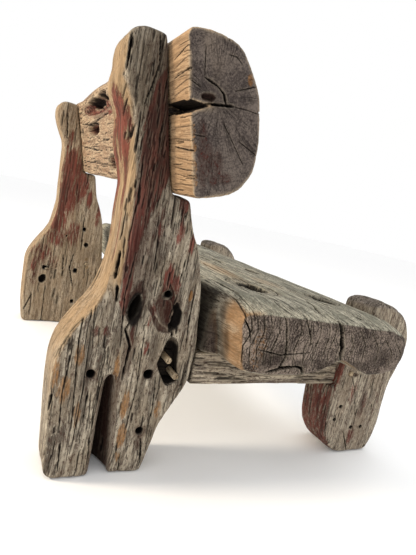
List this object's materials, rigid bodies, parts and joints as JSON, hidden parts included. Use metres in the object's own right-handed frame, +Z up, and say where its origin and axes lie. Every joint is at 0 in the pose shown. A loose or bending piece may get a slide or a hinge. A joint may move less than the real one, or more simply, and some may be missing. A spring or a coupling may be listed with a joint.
{
  "type": "pegged timber seat with headrest",
  "caption": "Heavy weathered timber seat: shaped upright boards carry a leaning half-round headrest log, with side rails, knobbed front legs and a thick seat slab.",
  "frame": {"origin": "on the floor at the centre of the bounding box", "axes": "+Z up, the seat faces -Y, +X along the log towards the sitter's left"},
  "size_m": [1.38, 1.0037, 0.9303],
  "materials": {
    "upright_wood": "bare weathered timber, open grain, remains of red paint and rust stains",
    "log_wood": "bare weathered half log, grey checked end grain, tan flat back",
    "slab_wood": "bare weathered timber, greenish grey top, dark checked ends",
    "rail_wood": "bare weathered timber, pale, with dark fissures",
    "leg_wood": "bare weathered timber with worm holes and red paint remains",
    "peg_wood": "plain pale split wood"
  },
  "bodies": {
    "root": {"right_upright": "upright_wood", "left_upright": "upright_wood", "headrest_log": "log_wood", "seat_slab": "slab_wood", "right_rail": "rail_wood", "left_rail": "rail_wood", "right_leg": "leg_wood", "left_leg": "leg_wood", "headrest_dowels": "peg_wood", "rail_pegs": "peg_wood", "leg_pegs": "peg_wood"}
  },
  "joints": []
}
